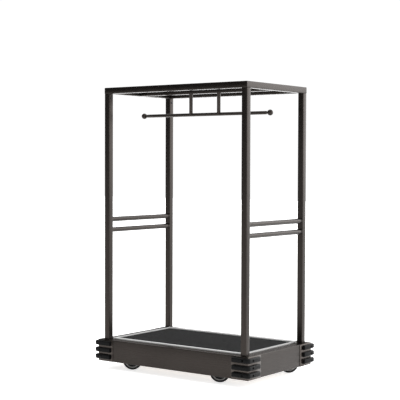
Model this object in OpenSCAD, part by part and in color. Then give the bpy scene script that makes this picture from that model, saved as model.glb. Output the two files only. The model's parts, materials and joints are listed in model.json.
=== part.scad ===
/* [Upper frame] */
// Height from the deck edge, where the posts stand, to the top of the frame
upright_h = 1643; // [1500:1:1750]
// Length of the frame over the outside of its posts
frame_l = 1120; // [1100:2:1150]
// Width of the frame over the outside of its posts
frame_w = 680; // [670:2:690]
// Side of the square tube of the posts and top rails
tube = 40; // [38:1:42]
// Wall of the square tube
tube_wall = 1.6; // [1.2:0.1:2.4]
// Outside corner radius of the square tube
tube_r = 4; // [3:0.5:6]

/* [Garment rail] */
// Diameter of the hanging rail
rail_d = 22; // [18:1:24]
// Height of the hanging rail's axis above the deck edge
rail_z = 1469; // [1400:1:1480]
// Distance between the centres of the two end balls
ball_span = 1006; // [900:2:1020]
// Diameter of the end balls
ball_d = 38; // [32:1:40]
// Diameter of the two tubes that carry the rail
drop_d = 24; // [24:1:30]
// Distance between the two drops
drop_span = 222; // [180:2:300]

/* [End tubes] */
// Diameter of the two tubes at each end
side_d = 32; // [25:1:34]
// Height of the lower end tube's axis above the deck edge
side_low_z = 717; // [600:1:800]
// Centre distance of the two end tubes
side_pitch = 69; // [60:1:90]

/* [Base] */
// Length over the skirt panels
base_l = 1178; // [1176:1:1186]
// Width over the skirt panels
base_w = 724; // [722:1:730]
// Height of the skirt panels
skirt_h = 139; // [130:1:145]
// Thickness of the skirt panels
skirt_t = 1.5; // [1:0.1:2]
// Thickness of the plywood deck
board_t = 15; // [12:1:18]
// Height of the tubes of the base frame
base_tube_h = 20; // [20:1:25]
// Thickness of the carpet
carpet_t = 4.5; // [3:0.5:8]
// Width of the edge trim, which frames the carpet inside the posts
trim_w = 15; // [12:1:25]
// Height of the edge trim
trim_h = 10; // [8:0.5:12]

/* [Corner bumpers] */
// Thickness of the corner bracket
bracket_t = 2.5; // [2:0.5:3]
// Length of the bracket along the long side, from the base corner
bracket_x = 120; // [110:1:140]
// Length of the bracket along the short side, from the base corner
bracket_y = 136; // [110:1:150]
// Length of a rubber strip's limbs, from the base corner
strip_l = 106; // [90:1:110]
// Height of a rubber strip
strip_h = 30; // [24:1:34]
// How far a strip stands proud of the bracket
strip_d = 18.5; // [14:0.5:22]
// Radius of a strip's outer edges
strip_r = 8; // [4:0.5:10]
// Centre distance of the strips in a corner
strip_pitch = 44.5; // [40:0.5:46]
// Depth of the top strip's axis below the deck edge
strip_top = 20; // [18:1:26]
// Distance of a bumper screw from the base corner
bumper_screw_in = 27; // [20:1:34]

/* [Casters] */
// Diameter over the tyre
wheel_d = 127; // [120:1:127]
// Width of the tyre
tyre_w = 30; // [26:1:32]
// Distance from the swivel axis to the axle
trail = 42; // [34:1:42]
// Height of a caster from the floor to the top of its plate
caster_h = 158; // [158:1:164]
// Distance of the front casters' swivel axes from the middle of the length
front_caster_x = 350; // [330:1:450]
// Distance of the rear casters' swivel axes from the middle of the length
rear_caster_x = 452; // [380:1:460]
// Distance of the swivel axes from the middle of the width
caster_y = 238; // [220:1:238]
// Heading of the front casters, as stored
front_heading = 210; // [0:5:355]
// Heading of the rear right caster, as stored; the rear left one mirrors it
rear_heading = 45; // [0:5:355]

/* [Hidden] */
$fn = 48;
gap = 0.4;                                   // play between loose neighbours
deck_z = caster_h + base_tube_h + board_t;   // the deck edge above the floor
frame_z = caster_h;                          // underside of the base frame
board_z = caster_h + base_tube_h;            // underside of the deck board
flange_t = 2;                                // top flange of the corner bracket
post_x = frame_l / 2 - tube / 2;             // axis of a post
post_y = frame_w / 2 - tube / 2;
post_foot = deck_z + flange_t;
post_top = deck_z + upright_h - tube;        // posts end under the top rails
post_inner_x = frame_l / 2 - tube;           // faces that look inwards
post_inner_y = frame_w / 2 - tube;
top_z = post_top + tube / 2;                 // axis of the top rails
core = tube - 2 * tube_wall - 2 * 0.25;      // side of a block that fits in a tube
garment_z = deck_z + rail_z;
skirt_x = base_l / 2 - skirt_t;              // inner faces of the skirt
skirt_y = base_w / 2 - skirt_t;
skirt_lip = 12;
base_tube_wall = 1.5;
edge_tube_w = 60;                            // width of the perimeter tubes
stringer_w = 90;                             // width of the tubes that carry the casters
tie_w = 40;                                  // width of the cross ties
tie_xs = [-300, 0, 300];
corner_x = base_l / 2 - post_inner_x;        // size of the bracket's top flange
corner_y = base_w / 2 - post_inner_y;
wheel_r = wheel_d / 2;
sides = [-1, 1];
strip_zs = [for (i = [0:2]) deck_z - strip_top - i * strip_pitch];

// fasteners
m6_r = 3;
m8_r = 4;
m10_r = 5;
spigot_l = 60;
foot_l = 50;
frame_screw_z = post_top - 28;
bumper_sink = 6;                             // depth of a strip's counterbore
bumper_screw_r = 2.5;

// caster
plate_t = 3.5;
plate_x = 105;
plate_y = 85;
plate_hole_x = 42;
plate_hole_y = 32;
race_r = 30;
race_h = 5;
race_z = caster_h - plate_t - race_h;        // underside of the race
crown_h = 8;
crown_z = race_z - 0.5 - crown_h;            // half a millimetre stands for the balls
bridge_t = 4;
bridge_z = crown_z - bridge_t;
leg_t = 3.5;
leg_in = tyre_w / 2 + 3;                     // inner face of a fork leg
kingpin_r = 6;
axle_r = 5;
running = 0.06;                              // radial clearance of a running fit
rim_r = wheel_r - 13.5;

BRONZE = "#4a4541";
STEEL = "#c9c9c6";
BLACK = "#24262a";
ZINC = "#a9adb0";

// ---- shapes that repeat ----

// Rectangle with round corners, centred
module round_rect(w, h, r) {
    square([w, h - 2 * r], center = true);
    square([w - 2 * r, h], center = true);
    for (sx = sides, sy = sides)
        translate([sx * (w / 2 - r), sy * (h / 2 - r)]) circle(r = r);
}

// Square tube of the upper frame, along +Z from the origin
module frame_tube(len) {
    linear_extrude(len) difference() {
        round_rect(tube, tube, tube_r);
        round_rect(tube - 2 * tube_wall, tube - 2 * tube_wall, tube_r - tube_wall);
    }
}

// Rectangular tube of the base frame, along X, centred, standing on z = 0
module base_tube(len, w) {
    translate([0, 0, base_tube_h / 2]) difference() {
        cube([len, w, base_tube_h], center = true);
        cube([len + 2, w - 2 * base_tube_wall, base_tube_h - 2 * base_tube_wall], center = true);
    }
}

module along_x() rotate([0, 90, 0]) children();
module along_y() rotate([-90, 0, 0]) children();

module hex_head(af, h) cylinder(d = af / cos(30), h = h, $fn = 6);

// Low round head with a hexagon socket, its seat on z = 0
module socket_head(r, h) {
    difference() {
        cylinder(r = r, h = h);
        translate([0, 0, h * 0.4]) hex_head(r * 0.9, h);
    }
}

// ---- upper frame ----

module at_post(sx, sy) translate([sx * post_x, sy * post_y, 0]) children();

module post(sx, sy) color(BRONZE) difference() {
    at_post(sx, sy) translate([0, 0, post_foot]) frame_tube(post_top - post_foot);
    spigot_screw_axis(sx, sy) translate([0, 0, -4]) cylinder(r = m6_r + 0.3, h = 8);
}

// Axis of the screw that holds a post on its spigot; +Z points out of the inner face
module spigot_screw_axis(sx, sy) {
    translate([sx * post_inner_x, sy * post_y, frame_screw_z]) rotate([0, -sx * 90, 0]) children();
}

// Four rails mitred at the corners of the top frame
module mitre_x(sy) {
    a = frame_l / 2;
    b = frame_w / 2;
    translate([0, 0, post_top - 1]) linear_extrude(tube + 2) intersection() {
        polygon([[-a, sy * b], [a, sy * b], [a - tube, sy * (b - tube)], [tube - a, sy * (b - tube)]]);
        round_rect(frame_l, frame_w, tube_r);
    }
}

module mitre_y(sx) {
    a = frame_l / 2;
    b = frame_w / 2;
    translate([0, 0, post_top - 1]) linear_extrude(tube + 2) intersection() {
        polygon([[sx * a, -b], [sx * a, b], [sx * (a - tube), b - tube], [sx * (a - tube), tube - b]]);
        round_rect(frame_l, frame_w, tube_r);
    }
}

module top_rail_long(sy) color(BRONZE) intersection() {
    translate([-frame_l / 2, sy * post_y, top_z]) along_x() frame_tube(frame_l);
    mitre_x(sy);
}

module top_rail_short(sx) color(BRONZE) intersection() {
    translate([sx * post_x, -frame_w / 2, top_z]) along_y() frame_tube(frame_w);
    mitre_y(sx);
}

module top_rail_centre() color(BRONZE) difference() {
    translate([-post_inner_x, 0, top_z]) along_x() frame_tube(2 * post_inner_x);
    for (sx = sides)
        translate([sx * drop_span / 2, 0, post_top - 1]) cylinder(r = m8_r + 0.4, h = tube + 2);
}

// Blocks under the top frame's corners; the posts slide over them
module post_spigots() color(ZINC) for (sx = sides, sy = sides) difference() {
    at_post(sx, sy) translate([0, 0, post_top - spigot_l])
        linear_extrude(spigot_l) round_rect(core, core, tube_r - tube_wall);
    spigot_screw_axis(sx, sy) translate([0, 0, -14]) cylinder(r = m6_r, h = 14);
}

module spigot_screws() color(BLACK) for (sx = sides, sy = sides)
    spigot_screw_axis(sx, sy) {
        socket_head(5.5, 3.3);
        translate([0, 0, -12]) cylinder(r = m6_r - 0.05, h = 12);
    }

// ---- garment rail ----

neck_r = 8;
stud_r = 5;
neck_seat = 16;      // distance of the neck's end from the ball's centre
neck_l = 10;

module hanging_rail() color(BRONZE) translate([0, 0, garment_z]) along_x() {
    neck_end = ball_span / 2 - neck_seat;
    rotate_extrude() polygon([
        [0, -neck_end - neck_l], [stud_r - 0.05, -neck_end - neck_l], [stud_r - 0.05, -neck_end],
        [neck_r, -neck_end], [neck_r, neck_l - neck_end], [rail_d / 2, neck_l - neck_end + 2],
        [rail_d / 2, neck_end - neck_l - 2], [neck_r, neck_end - neck_l], [neck_r, neck_end],
        [stud_r - 0.05, neck_end], [stud_r - 0.05, neck_end + neck_l], [0, neck_end + neck_l]
    ]);
}

module rail_end_balls() color(BRONZE) for (sx = sides)
    translate([sx * ball_span / 2, 0, garment_z]) rotate([0, -sx * 90, 0]) difference() {
        sphere(d = ball_d);
        translate([0, 0, neck_seat]) cylinder(r = neck_r + 0.5, h = ball_d);
        translate([0, 0, neck_seat - neck_l - 2]) cylinder(r = stud_r, h = ball_d);
    }

// Round tubes from the centre rail down to the hanging rail, saddled onto it
module hanger_drops() color(BRONZE) for (sx = sides)
    translate([sx * drop_span / 2, 0, 0]) difference() {
        translate([0, 0, garment_z]) cylinder(d = drop_d, h = post_top - garment_z);
        translate([0, 0, garment_z - 1]) cylinder(d = drop_d - 4, h = post_top - garment_z - 24);
        translate([0, 0, post_top - 30]) cylinder(r = m8_r, h = 31);
        translate([-drop_d, 0, garment_z]) along_x() cylinder(r = rail_d / 2 + 0.02, h = 2 * drop_d);
    }

module drop_screws() color(BLACK) for (sx = sides)
    translate([sx * drop_span / 2, 0, post_top + tube]) {
        socket_head(7, 2.4);
        translate([0, 0, -tube - 20]) cylinder(r = m8_r - 0.05, h = tube + 20);
    }

// ---- end tubes ----

collar_l = 5;
collar_r = tube / 2 - 0.5;
collar_round = 1.2;                          // rounding of a collar's outer edge

module at_side_tubes() for (sx = sides, i = [0, 1])
    translate([sx * post_x, 0, deck_z + side_low_z + i * side_pitch]) children();

module side_tubes() color(BRONZE) at_side_tubes()
    translate([0, -post_inner_y, 0]) along_y() difference() {
        cylinder(d = side_d, h = 2 * post_inner_y);
        translate([0, 0, -1]) cylinder(d = side_d - 3, h = 2 * post_inner_y + 2);
    }

module side_tube_collars() color(BRONZE) at_side_tubes() for (sy = sides)
    translate([0, sy * post_inner_y, 0]) rotate([sy * 90, 0, 0]) rotate_extrude() {
        r0 = side_d / 2 + 0.03;
        translate([r0, 0]) square([collar_r - r0, collar_l - collar_round]);
        translate([r0, 0]) square([collar_r - r0 - collar_round, collar_l]);
        translate([collar_r - collar_round, collar_l - collar_round]) circle(r = collar_round);
    }

// ---- deck ----

module deck_board() color("#b08d5f") difference() {
    translate([-skirt_x + gap, -skirt_y + gap, board_z])
        cube([2 * (skirt_x - gap), 2 * (skirt_y - gap), board_t]);
    for (sx = sides, sy = sides)
        at_post(sx, sy) translate([0, 0, board_z - 1]) cylinder(r = m10_r + 0.5, h = board_t + 2);
}

module deck_carpet() color("#3c3d3f") translate([0, 0, deck_z]) linear_extrude(carpet_t)
    square([2 * (post_inner_x - trim_w - 2 * gap), 2 * (post_inner_y - trim_w - 2 * gap)], center = true);

// Inverted channel, along X, centred, its outer face on y = 0 and its width towards +Y
module trim_bar(len) {
    r = 2;
    t = 1.5;
    rotate([90, 0, 90]) translate([0, 0, -len / 2]) {
        linear_extrude(len) difference() {
            union() {
                square([trim_w, trim_h - r]);
                translate([r, 0]) square([trim_w - 2 * r, trim_h]);
                for (x = [r, trim_w - r]) translate([x, trim_h - r]) circle(r = r);
            }
            translate([t, -1]) square([trim_w - 2 * t, trim_h - t + 1]);
        }
        for (z = [0, len - t])
            translate([t / 2, 0, z]) cube([trim_w - t, trim_h - t / 2, t]);
    }
}

module trim_long(sy) color(STEEL) mirror([0, sy > 0 ? 1 : 0, 0])
    translate([0, gap - post_inner_y, deck_z]) trim_bar(2 * (post_inner_x - gap));

module trim_short(sx) color(STEEL) rotate([0, 0, sx * 90])
    translate([0, gap - post_inner_x, deck_z]) trim_bar(2 * (post_inner_y - trim_w - 2 * gap));

// ---- base frame and skirt ----

// Corner frame: origin on the base corner, limbs towards -X and -Y
module at_corner(sx, sy) {
    mirror([sx < 0 ? 1 : 0, 0, 0]) mirror([0, sy < 0 ? 1 : 0, 0])
        translate([base_l / 2, base_w / 2, 0]) children();
}

// Axes of one corner's bumper screws: z = 0 on the strip's face, +Z inwards
module at_bumper_screws() for (z = strip_zs) {
    bumper_screw_place(z) children();
    mirror([1, -1, 0]) bumper_screw_place(z) children();
}

module bumper_screw_place(z) {
    translate([-bumper_screw_in, bracket_t + strip_d, z]) rotate([90, 0, 0]) children();
}

// Clearance holes behind the strips, through bracket, skirt and frame wall
module bumper_screw_holes() for (sx = sides, sy = sides) at_corner(sx, sy) at_bumper_screws()
    translate([0, 0, strip_d - 1]) cylinder(r = bumper_screw_r + 0.25, h = 14);

module post_bolt_holes(z, h) for (sx = sides, sy = sides)
    at_post(sx, sy) translate([0, 0, z]) cylinder(r = m10_r + 0.5, h = h);

// A skirt panel has a lip at its foot and a flange on the deck edge, up to the trim
module skirt_long(sy) color(BRONZE) difference() {
    mirror([0, sy < 0 ? 1 : 0, 0]) translate([-base_l / 2, 0, deck_z - skirt_h]) {
        translate([0, skirt_y, 0]) cube([base_l, skirt_t, skirt_h]);
        translate([skirt_lip + skirt_t, skirt_y - skirt_lip, 0])
            cube([base_l - 2 * (skirt_lip + skirt_t), skirt_lip + skirt_t, skirt_t]);
        translate([corner_x + gap, post_inner_y, skirt_h])
            cube([2 * (post_inner_x - gap), corner_y, skirt_t]);
    }
    bumper_screw_holes();
}

module skirt_short(sx) color(BRONZE) difference() {
    mirror([sx < 0 ? 1 : 0, 0, 0]) translate([0, -skirt_y, deck_z - skirt_h]) {
        translate([skirt_x, 0, 0]) cube([skirt_t, 2 * skirt_y, skirt_h]);
        translate([skirt_x - skirt_lip, skirt_lip, 0])
            cube([skirt_lip + skirt_t, 2 * (skirt_y - skirt_lip), skirt_t]);
        translate([post_inner_x, skirt_y - post_inner_y + gap, skirt_h])
            cube([corner_x, 2 * (post_inner_y - gap), skirt_t]);
    }
    bumper_screw_holes();
}

module base_long_rails() color(BLACK) difference() {
    for (sy = sides) translate([0, sy * (skirt_y - edge_tube_w / 2), frame_z])
        base_tube(2 * skirt_x, edge_tube_w);
    post_bolt_holes(frame_z - 1, base_tube_h + 2);
    bumper_screw_holes();
}

module base_end_rails() color(BLACK) difference() {
    for (sx = sides) translate([sx * (skirt_x - edge_tube_w / 2), 0, frame_z]) rotate([0, 0, 90])
        base_tube(2 * (skirt_y - edge_tube_w), edge_tube_w);
    bumper_screw_holes();
}

// Wide tubes that carry the caster plates, with weld nuts inside
module base_stringers() color(BLACK) for (sy = sides) {
    len = 2 * (skirt_x - edge_tube_w);
    difference() {
        union() {
            translate([0, sy * caster_y, frame_z]) base_tube(len, stringer_w);
            at_caster_bolts(sy) translate([0, 0, base_tube_wall / 2]) cylinder(r = 7.5, h = 8);
        }
        at_caster_bolts(sy) translate([0, 0, -1]) cylinder(r = m8_r + 0.05, h = 12);
    }
}

module base_cross_ties() color(BLACK) for (x = tie_xs)
    translate([x, 0, frame_z]) rotate([0, 0, 90])
        base_tube(2 * caster_y - stringer_w, tie_w);

// Threaded blocks in the feet of the posts, and the bolts that come up into them
module post_foot_plugs() color(ZINC) for (sx = sides, sy = sides)
    at_post(sx, sy) translate([0, 0, post_foot]) difference() {
        linear_extrude(foot_l) round_rect(core, core, tube_r - tube_wall);
        translate([0, 0, -1]) cylinder(r = m10_r, h = foot_l + 2);
    }

module post_bolts() color(ZINC) for (sx = sides, sy = sides)
    at_post(sx, sy) translate([0, 0, frame_z]) {
        translate([0, 0, -8.4]) hex_head(17, 6.4);
        translate([0, 0, -2]) cylinder(r = 10, h = 2);
        translate([0, 0, -3]) cylinder(r = m10_r - 0.05, h = post_foot - frame_z + foot_l - 7);
    }

// ---- corner bumpers ----

module corner_bracket(sx, sy) color(BRONZE) difference() {
    at_corner(sx, sy) {
        translate([-bracket_x, 0, deck_z - skirt_h])
            cube([bracket_x + bracket_t, bracket_t, skirt_h + flange_t]);
        translate([0, -bracket_y, deck_z - skirt_h])
            cube([bracket_t, bracket_y + bracket_t, skirt_h + flange_t]);
        translate([-corner_x, -corner_y, deck_z])
            cube([corner_x + bracket_t, corner_y + bracket_t, flange_t]);
    }
    bumper_screw_holes();
    post_bolt_holes(deck_z - 1, flange_t + 2);
}

// Section of a rubber strip: x is the depth from the bracket, y the height
module strip_section() {
    translate([0, -strip_h / 2]) square([strip_d - strip_r, strip_h]);
    translate([0, strip_r - strip_h / 2]) square([strip_d, strip_h - 2 * strip_r]);
    for (s = sides) translate([strip_d - strip_r, s * (strip_h / 2 - strip_r)]) circle(r = strip_r);
}

module strip_limb() {
    translate([-strip_l, bracket_t, 0]) rotate([90, 0, 90])
        linear_extrude(strip_l + bracket_t) intersection() {
            strip_section();
            translate([0, -strip_h]) square([strip_d, 2 * strip_h]);
        }
}

module bumpers(sx, sy) color(BLACK) at_corner(sx, sy) difference() {
    for (z = strip_zs) translate([0, 0, z]) {
        strip_limb();
        mirror([1, -1, 0]) strip_limb();
        translate([bracket_t, bracket_t, 0]) rotate_extrude(angle = 90) intersection() {
            strip_section();
            translate([0, -strip_h]) square([strip_d, 2 * strip_h]);
        }
    }
    at_bumper_screws() {
        translate([0, 0, -1]) cylinder(r = 6.5, h = bumper_sink + 1);
        cylinder(r = bumper_screw_r + 0.25, h = strip_d + 1);
    }
}

module bumper_screws() color(ZINC) for (sx = sides, sy = sides) at_corner(sx, sy) at_bumper_screws()
    translate([0, 0, bumper_sink]) {
        rotate([180, 0, 0]) socket_head(4.75, 2.6);
        cylinder(r = bumper_screw_r, h = strip_d - bumper_sink + bracket_t + skirt_t + 5);
    }

// ---- casters ----

function caster_x(sx, sy) = sx * (sy < 0 ? front_caster_x : rear_caster_x);
function heading(sx, sy) = sy < 0 ? front_heading : (sx > 0 ? rear_heading : 180 - rear_heading);

module at_caster(sx, sy) translate([caster_x(sx, sy), sy * caster_y, 0]) children();

// The swivelling frame: +X points from the swivel axis to the axle
module at_fork(sx, sy) at_caster(sx, sy) rotate([0, 0, heading(sx, sy)]) children();

// The axle's frame: +Z along the axle, origin in the middle of the wheel
module at_axle(sx, sy) at_fork(sx, sy) translate([trail, 0, wheel_r]) along_y() children();

module at_caster_bolts(sy) for (sx = sides, hx = sides, hy = sides)
    at_caster(sx, sy) translate([hx * plate_hole_x, hy * plate_hole_y, caster_h]) children();

// Mounting plate, race and riveted kingpin of each caster
module caster_plates() color(ZINC) for (sx = sides, sy = sides) difference() {
    at_caster(sx, sy) {
        translate([0, 0, caster_h - plate_t]) linear_extrude(plate_t) round_rect(plate_x, plate_y, 8);
        translate([0, 0, race_z]) cylinder(r = race_r, h = race_h + 1);
        translate([0, 0, bridge_z - 0.5]) cylinder(r = kingpin_r, h = caster_h - bridge_z);
        translate([0, 0, bridge_z - 3.5]) cylinder(r = 10, h = 3);
    }
    at_caster_bolts(sy) translate([0, 0, -plate_t - 1]) cylinder(r = m8_r + 0.25, h = plate_t + 2);
}

module caster_bolts() color(ZINC) for (sy = sides) at_caster_bolts(sy) {
    translate([0, 0, -plate_t - 5.3]) hex_head(13, 5.3);
    translate([0, 0, -plate_t - 1]) cylinder(r = m8_r, h = plate_t + 11);
}

module fork(sx, sy) color(ZINC) at_fork(sx, sy) difference() {
    union() {
        translate([0, 0, crown_z]) cylinder(r = race_r - 2, h = crown_h);
        translate([0, 0, bridge_z]) linear_extrude(bridge_t) {
            circle(r = race_r - 2);
            translate([0, -leg_in - leg_t]) square([trail + 16, 2 * (leg_in + leg_t)]);
        }
        for (s = sides) translate([0, s * (leg_in + leg_t / 2) + leg_t / 2, 0])
            rotate([90, 0, 0]) linear_extrude(leg_t) {
                polygon([[-14, bridge_z + bridge_t], [trail + 16, bridge_z + bridge_t],
                    [trail + 13, wheel_r], [trail - 13, wheel_r]]);
                translate([trail, wheel_r]) circle(r = 13);
            }
    }
    translate([0, 0, bridge_z - 1]) cylinder(r = kingpin_r + running, h = bridge_t + crown_h + 2);
    translate([trail, -leg_in - leg_t - 1, wheel_r]) along_y()
        cylinder(r = axle_r + 0.03, h = 2 * (leg_in + leg_t + 1));
}

// Axle bolt and its nut
module axle(sx, sy) color(ZINC) at_axle(sx, sy) {
    outer = leg_in + leg_t;
    translate([0, 0, -outer - 6]) hex_head(16, 6);
    translate([0, 0, -outer - 1]) cylinder(r = axle_r, h = 2 * outer + 11);
    translate([0, 0, outer]) difference() {
        hex_head(16, 7.5);
        translate([0, 0, -1]) cylinder(r = axle_r + 0.03, h = 10);
    }
}

// Moulded wheel centre: boss, web, rim and ribs
module wheel(sx, sy) color("#8d8f92") at_axle(sx, sy) {
    boss_r = 14;
    rib = 4;
    difference() {
        union() {
            cylinder(r = boss_r, h = 2 * (leg_in - 0.5), center = true);
            cylinder(r = rim_r - 2, h = 7, center = true);
            difference() {
                cylinder(r = rim_r, h = tyre_w - 2, center = true);
                cylinder(r = rim_r - 6, h = tyre_w, center = true);
            }
            for (a = [0:60:179]) rotate([0, 0, a])
                cube([2 * rim_r - 4, rib, tyre_w - 10], center = true);
        }
        cylinder(r = axle_r + running, h = 3 * tyre_w, center = true);
    }
}

module tyre(sx, sy) color(BLACK) at_axle(sx, sy) rotate_extrude() {
    r0 = rim_r + 0.05;
    edge = 5;
    translate([r0, -tyre_w / 2]) square([wheel_r - r0 - edge, tyre_w]);
    translate([r0, edge - tyre_w / 2]) square([wheel_r - r0, tyre_w - 2 * edge]);
    for (s = sides) translate([wheel_r - edge, s * (tyre_w / 2 - edge)]) circle(r = edge);
}

post(-1, -1);  // post_front_left
post(1, -1);  // post_front_right
post(-1, 1);  // post_rear_left
post(1, 1);  // post_rear_right
top_rail_long(-1);  // top_rail_front
top_rail_long(1);  // top_rail_rear
top_rail_short(-1);  // top_rail_left
top_rail_short(1);  // top_rail_right
top_rail_centre();
hanging_rail();
rail_end_balls();
hanger_drops();
drop_screws();
side_tubes();
side_tube_collars();
post_spigots();
spigot_screws();
deck_board();
deck_carpet();
trim_long(-1);  // trim_front
trim_long(1);  // trim_rear
trim_short(-1);  // trim_left
trim_short(1);  // trim_right
skirt_long(-1);  // skirt_front
skirt_long(1);  // skirt_rear
skirt_short(-1);  // skirt_left
skirt_short(1);  // skirt_right
base_long_rails();
base_end_rails();
base_stringers();
base_cross_ties();
post_foot_plugs();
post_bolts();
corner_bracket(-1, -1);  // corner_bracket_front_left
corner_bracket(1, -1);  // corner_bracket_front_right
corner_bracket(-1, 1);  // corner_bracket_rear_left
corner_bracket(1, 1);  // corner_bracket_rear_right
bumpers(-1, -1);  // bumpers_front_left
bumpers(1, -1);  // bumpers_front_right
bumpers(-1, 1);  // bumpers_rear_left
bumpers(1, 1);  // bumpers_rear_right
bumper_screws();
caster_plates();
caster_bolts();
fork(-1, -1);  // fork_front_left
fork(1, -1);  // fork_front_right
fork(-1, 1);  // fork_rear_left
fork(1, 1);  // fork_rear_right
axle(-1, -1);  // axle_front_left
axle(1, -1);  // axle_front_right
axle(-1, 1);  // axle_rear_left
axle(1, 1);  // axle_rear_right
wheel(-1, -1);  // wheel_front_left
wheel(1, -1);  // wheel_front_right
wheel(-1, 1);  // wheel_rear_left
wheel(1, 1);  // wheel_rear_right
tyre(-1, -1);  // tyre_front_left
tyre(1, -1);  // tyre_front_right
tyre(-1, 1);  // tyre_rear_left
tyre(1, 1);  // tyre_rear_right
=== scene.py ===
import json
import math
import random

import bmesh
import bpy
from mathutils import Matrix, Vector, noise


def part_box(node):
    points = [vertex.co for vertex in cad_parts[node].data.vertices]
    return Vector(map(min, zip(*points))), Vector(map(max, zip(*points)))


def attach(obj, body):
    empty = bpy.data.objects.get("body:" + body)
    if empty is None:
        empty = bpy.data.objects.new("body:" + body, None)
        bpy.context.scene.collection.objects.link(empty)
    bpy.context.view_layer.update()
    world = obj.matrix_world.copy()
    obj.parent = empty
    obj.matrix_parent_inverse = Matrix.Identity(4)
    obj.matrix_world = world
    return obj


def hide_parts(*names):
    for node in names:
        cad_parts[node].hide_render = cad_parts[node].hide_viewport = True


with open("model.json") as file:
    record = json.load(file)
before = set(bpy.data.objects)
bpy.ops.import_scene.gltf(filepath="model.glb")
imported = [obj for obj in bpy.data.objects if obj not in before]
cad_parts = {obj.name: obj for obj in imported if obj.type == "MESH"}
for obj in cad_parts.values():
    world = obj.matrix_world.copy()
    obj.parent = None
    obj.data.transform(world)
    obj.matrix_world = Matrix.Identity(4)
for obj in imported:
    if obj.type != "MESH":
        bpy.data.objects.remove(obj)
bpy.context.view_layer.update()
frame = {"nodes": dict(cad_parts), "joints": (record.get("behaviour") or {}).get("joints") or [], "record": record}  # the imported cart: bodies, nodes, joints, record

scene = bpy.context.scene
print("cart loaded,", len(frame["nodes"]), "nodes")


# Shader wiring

class Wire:  # a shader socket that can be used in sums
    def __init__(self, tree, socket=None):
        self.tree = tree
        self.socket = socket

    def node(self, kind, settings=None, values=None, output=0):
        made = self.tree.nodes.new(kind)
        for key, value in (settings or {}).items():
            setattr(made, key, value)
        for key, value in (values or {}).items():
            socket = self.pick(made.inputs, key)
            if isinstance(value, Wire):
                self.tree.links.new(value.socket, socket)
            else:
                socket.default_value = value
        return Wire(self.tree, self.pick(made.outputs, output))

    def finish(self, kind, shader):
        out = self.tree.nodes.new(kind)
        self.tree.links.new(shader.socket, out.inputs["Surface"])

    def pick(self, sockets, key):
        if isinstance(key, int):
            return sockets[key]
        return next(s for s in sockets if s.name == key and s.enabled)

    def sibling(self, name):
        return Wire(self.tree, self.socket.node.outputs[name])

    def calc(self, operation, first, second=0.0):
        return self.node("ShaderNodeMath", {"operation": operation}, {0: first, 1: second})

    def __add__(self, other):
        return self.calc("ADD", self, other)

    def __radd__(self, other):
        return self.calc("ADD", other, self)

    def __sub__(self, other):
        return self.calc("SUBTRACT", self, other)

    def __rsub__(self, other):
        return self.calc("SUBTRACT", other, self)

    def __mul__(self, other):
        return self.calc("MULTIPLY", self, other)

    def __rmul__(self, other):
        return self.calc("MULTIPLY", other, self)


def newFinish(name):
    material = bpy.data.materials.new(name)
    material.use_nodes = True
    material.node_tree.nodes.clear()
    return material, Wire(material.node_tree)


def surface(wire, values):
    shader = wire.node("ShaderNodeBsdfPrincipled", None, values)
    wire.finish("ShaderNodeOutputMaterial", shader)


def objectPlace(wire, stretch=(1, 1, 1)):
    place = wire.node("ShaderNodeTexCoord", None, None, "Object")
    return wire.node("ShaderNodeVectorMath", {"operation": "MULTIPLY"}, {0: place, 1: stretch})


def cloud(wire, place, scale, detail=3.0, roughness=0.5):
    return wire.node("ShaderNodeTexNoise", None,
                     {"Vector": place, "Scale": scale, "Detail": detail, "Roughness": roughness}, "Fac")


def crystals(wire, place, scale):  # distance to the nearest of scattered points
    return wire.node("ShaderNodeTexVoronoi", None, {"Vector": place, "Scale": scale}, "Distance")


def blendColour(wire, factor, first, second):
    return wire.node("ShaderNodeMix", {"data_type": "RGBA"},
                     {"Factor": factor, "A": first, "B": second}, "Result")


def ramp(wire, factor, low, high):
    return wire.node("ShaderNodeMapRange", {"clamp": True},
                     {"Value": factor, "From Min": low, "From Max": high})


def bump(wire, height, strength, distance):
    return wire.node("ShaderNodeBump", None,
                     {"Height": height, "Strength": strength, "Distance": distance})


def edgeMask(wire):  # 1 on rounded edges that lie between flat faces square to the axes
    normal = wire.node("ShaderNodeTexCoord", None, None, "Normal")
    partX = wire.node("ShaderNodeSeparateXYZ", None, {0: normal}, "X")
    sizes = [wire.calc("ABSOLUTE", partX.sibling(axis)) for axis in "XYZ"]
    largest = wire.calc("MAXIMUM", wire.calc("MAXIMUM", sizes[0], sizes[1]), sizes[2])
    return ramp(wire, 1 - largest, 0.06, 0.28)


bronzeSpec = {
    "deep": (0.0190, 0.0159, 0.0141, 1), "light": (0.0280, 0.0238, 0.0214, 1),
    "worn": (0.075, 0.066, 0.060, 1), "metallic": 0.93, "roughness": 0.27,
    "grain": 900, "stretch": 150.0, "drift": 2.2, "wearPatch": 14.0, "wearMix": 0.30,
    "bump": (0.035, 0.0004), "grazing": (1, 1, 1, 1),
}
# painted light: a lighter, glossier copy of the bronze for the corner brackets, so the bracket seen
# between the bumper strips reads lit instead of shaded
litBracketSpec = dict(
    bronzeSpec, deep=(0.034, 0.0288, 0.0256, 1), light=(0.056, 0.0478, 0.0430, 1),
    worn=(0.11, 0.095, 0.086, 1), metallic=0.90, roughness=0.26, drift=4.0)
# painted shade: a copy of the bronze whose grazing reflection is damped, put on the upward faces of skirts
# and brackets so their tops read darker
shadedTopSpec = dict(bronzeSpec, grazing=(0.55, 0.53, 0.52, 1))  # reflects less at a low angle


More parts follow.
